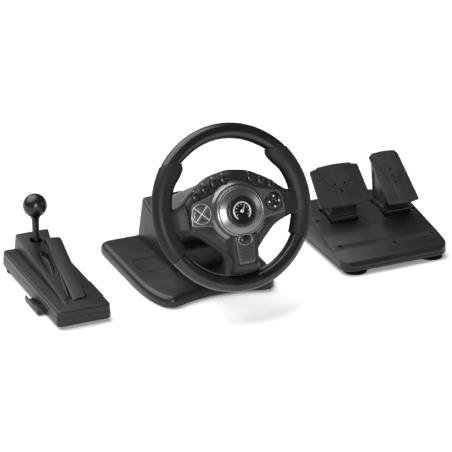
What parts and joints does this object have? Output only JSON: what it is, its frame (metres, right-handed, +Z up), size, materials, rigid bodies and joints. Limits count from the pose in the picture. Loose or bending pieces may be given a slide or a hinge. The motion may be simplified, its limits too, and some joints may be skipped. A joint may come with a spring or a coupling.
{
  "type": "racing wheel kit",
  "caption": "Steering wheel on a sloping column and weighted foot plate, with a pedal box and a gear shifter, for driving games; the wheel turns and its controls and pedals move.",
  "frame": {"origin": "centre of the whole kit's footprint, on the table or floor that it stands on", "axes": "+X to the driver's right along the row of three units, +Y away from the driver, +Z up"},
  "size_m": [0.7124, 0.3698, 0.3055],
  "materials": {
    "black_plastic": "fine-grained moulded plastic, satin",
    "gloss_plastic": "smooth polished plastic",
    "dark_plastic": "ribbed dark grey plastic",
    "rubber": "soft matt rubber",
    "gunmetal_paint": "gunmetal lacquer on plastic, satin",
    "steel": "turned steel",
    "nylon": "natural nylon",
    "circuit_board": "green solder mask"
  },
  "bodies": {
    "wheel_base": {"base_plate": "black_plastic", "column_housing": "black_plastic", "steering_neck": "black_plastic", "base_bottom_cover": "dark_plastic", "base_suction_cup_1": "rubber", "base_suction_cup_2": "rubber", "base_suction_cup_3": "rubber", "base_suction_cup_4": "rubber", "front_bearing": "steel", "rear_bearing": "steel", "angle_sensor": "dark_plastic"},
    "steering_wheel": {"steering_shaft": "steel", "rim_upper": "gloss_plastic", "rim_lower": "gloss_plastic", "left_grip": "rubber", "right_grip": "rubber", "hub_rear_shell": "black_plastic", "hub_front_shell": "black_plastic", "wing_panel": "gunmetal_paint", "hub_drum": "gunmetal_paint", "hub_badge": "black_plastic", "bottom_spoke_trim": "gunmetal_paint", "hub_circuit_board": "circuit_board"},
    "sensor_gear": {"sensor_gear": "nylon"},
    "direction_pad": {"direction_pad": "gloss_plastic"},
    "left_paddle": {"left_paddle": "dark_plastic"},
    "right_paddle": {"right_paddle": "dark_plastic"},
    "pedal_unit": {"pedal_top_shell": "black_plastic", "pedal_bottom_shell": "black_plastic", "pedal_axle": "steel", "brake_spring": "steel", "gas_spring": "steel", "pedal_suction_cup_1": "rubber", "pedal_suction_cup_2": "rubber", "pedal_rear_foot": "rubber"},
    "brake_pedal": {"brake_arm": "black_plastic", "brake_pad": "dark_plastic"},
    "gas_pedal": {"gas_arm": "black_plastic", "gas_pad": "dark_plastic"},
    "shifter_unit": {"shifter_base": "black_plastic", "shifter_cover": "black_plastic", "shifter_pivot_pin": "steel", "shifter_clamp_bracket": "dark_plastic", "shifter_suction_cup_1": "rubber", "shifter_suction_cup_2": "rubber", "shifter_suction_cup_3": "rubber"},
    "shift_lever": {"shifter_stem": "steel", "shifter_knob": "gloss_plastic"},
    "left_button_1": {"left_button_1": "gloss_plastic"},
    "left_button_2": {"left_button_2": "gloss_plastic"},
    "left_button_3": {"left_button_3": "gloss_plastic"},
    "left_button_4": {"left_button_4": "gloss_plastic"},
    "right_button_1": {"right_button_1": "gloss_plastic"},
    "right_button_2": {"right_button_2": "gloss_plastic"},
    "right_button_3": {"right_button_3": "gloss_plastic"},
    "action_button_right": {"action_button_right": "gloss_plastic"},
    "action_button_top": {"action_button_top": "gloss_plastic"},
    "action_button_left": {"action_button_left": "gloss_plastic"},
    "action_button_bottom": {"action_button_bottom": "gloss_plastic"},
    "start_button": {"start_button": "gloss_plastic"}
  },
  "joints": [
    {"name": "steering", "type": "hinge", "parent": "wheel_base", "child": "steering_wheel", "pos_m": [-0.06125, -0.12114, 0.1816], "axis": [0, -0.9092, 0.4163], "range_deg": [-450, 450], "stiffness_Nm_per_rad": 0.05},
    {"name": "sensor_turn", "type": "hinge", "parent": "wheel_base", "child": "sensor_gear", "pos_m": [-0.04495, 0.0498, 0.10334], "axis": [0, -0.9092, 0.4163], "range_deg": [-450, 450]},
    {"name": "left_button_1_press", "type": "slide", "parent": "steering_wheel", "child": "left_button_1", "axis": [0, 0.9092, -0.4163], "range_m": [0, 0.0015], "stiffness_N_per_m": 600, "springref_m": -0.0006},
    {"name": "left_button_2_press", "type": "slide", "parent": "steering_wheel", "child": "left_button_2", "axis": [0, 0.9092, -0.4163], "range_m": [0, 0.0015], "stiffness_N_per_m": 600, "springref_m": -0.0006},
    {"name": "left_button_3_press", "type": "slide", "parent": "steering_wheel", "child": "left_button_3", "axis": [0, 0.9092, -0.4163], "range_m": [0, 0.0015], "stiffness_N_per_m": 600, "springref_m": -0.0006},
    {"name": "left_button_4_press", "type": "slide", "parent": "steering_wheel", "child": "left_button_4", "axis": [0, 0.9092, -0.4163], "range_m": [0, 0.0015], "stiffness_N_per_m": 600, "springref_m": -0.0006},
    {"name": "right_button_1_press", "type": "slide", "parent": "steering_wheel", "child": "right_button_1", "axis": [0, 0.9092, -0.4163], "range_m": [0, 0.0015], "stiffness_N_per_m": 600, "springref_m": -0.0006},
    {"name": "right_button_2_press", "type": "slide", "parent": "steering_wheel", "child": "right_button_2", "axis": [0, 0.9092, -0.4163], "range_m": [0, 0.0015], "stiffness_N_per_m": 600, "springref_m": -0.0006},
    {"name": "right_button_3_press", "type": "slide", "parent": "steering_wheel", "child": "right_button_3", "axis": [0, 0.9092, -0.4163], "range_m": [0, 0.0015], "stiffness_N_per_m": 600, "springref_m": -0.0006},
    {"name": "action_button_right_press", "type": "slide", "parent": "steering_wheel", "child": "action_button_right", "axis": [0, 0.9092, -0.4163], "range_m": [0, 0.0015], "stiffness_N_per_m": 600, "springref_m": -0.0006},
    {"name": "action_button_top_press", "type": "slide", "parent": "steering_wheel", "child": "action_button_top", "axis": [0, 0.9092, -0.4163], "range_m": [0, 0.0015], "stiffness_N_per_m": 600, "springref_m": -0.0006},
    {"name": "action_button_left_press", "type": "slide", "parent": "steering_wheel", "child": "action_button_left", "axis": [0, 0.9092, -0.4163], "range_m": [0, 0.0015], "stiffness_N_per_m": 600, "springref_m": -0.0006},
    {"name": "action_button_bottom_press", "type": "slide", "parent": "steering_wheel", "child": "action_button_bottom", "axis": [0, 0.9092, -0.4163], "range_m": [0, 0.0015], "stiffness_N_per_m": 600, "springref_m": -0.0006},
    {"name": "start_button_press", "type": "slide", "parent": "steering_wheel", "child": "start_button", "axis": [0, 0.9092, -0.4163], "range_m": [0, 0.0015], "stiffness_N_per_m": 600, "springref_m": -0.0006},
    {"name": "direction_pad_rock", "type": "hinge", "parent": "steering_wheel", "child": "direction_pad", "pos_m": [0.00125, -0.14198, 0.18894], "axis": [0, 0.4163, 0.9092], "range_deg": [-4, 4], "stiffness_Nm_per_rad": 0.3},
    {"name": "right_paddle_pull", "type": "hinge", "parent": "steering_wheel", "child": "right_paddle", "pos_m": [-0.03025, -0.09795, 0.17098], "axis": [0, -0.4163, -0.9092], "range_deg": [0, 5], "stiffness_Nm_per_rad": 0.8, "springref_deg": -5.73},
    {"name": "left_paddle_pull", "type": "hinge", "parent": "steering_wheel", "child": "left_paddle", "pos_m": [-0.09225, -0.09795, 0.17098], "axis": [0, 0.4163, 0.9092], "range_deg": [0, 5], "stiffness_Nm_per_rad": 0.8, "springref_deg": -5.73},
    {"name": "pedal_unit_place", "type": "slide", "parent": "wheel_base", "child": "pedal_unit", "axis": [1, 0, 0], "range_m": [0, 0.15]},
    {"name": "brake_press", "type": "hinge", "parent": "pedal_unit", "child": "brake_pedal", "pos_m": [0.21525, 0.05286, 0.033], "axis": [-1, 0, 0], "range_deg": [0, 18], "stiffness_Nm_per_rad": 7, "springref_deg": -2.86, "deforming": ["brake_spring"]},
    {"name": "gas_press", "type": "hinge", "parent": "pedal_unit", "child": "gas_pedal", "pos_m": [0.31275, 0.05286, 0.033], "axis": [-1, 0, 0], "range_deg": [0, 18], "stiffness_Nm_per_rad": 4, "springref_deg": -2.86, "deforming": ["gas_spring"]},
    {"name": "shifter_unit_place", "type": "slide", "parent": "wheel_base", "child": "shifter_unit", "axis": [-1, 0, 0], "range_m": [0, 0.15]},
    {"name": "shift_lever_tilt", "type": "hinge", "parent": "shifter_unit", "child": "shift_lever", "pos_m": [-0.29575, 0.14986, 0.033], "axis": [1, 0, 0], "range_deg": [-10, 10], "stiffness_Nm_per_rad": 1}
  ],
  "couplings": [
    {"joint": "sensor_turn", "follows": "steering", "ratio": -1}
  ]
}
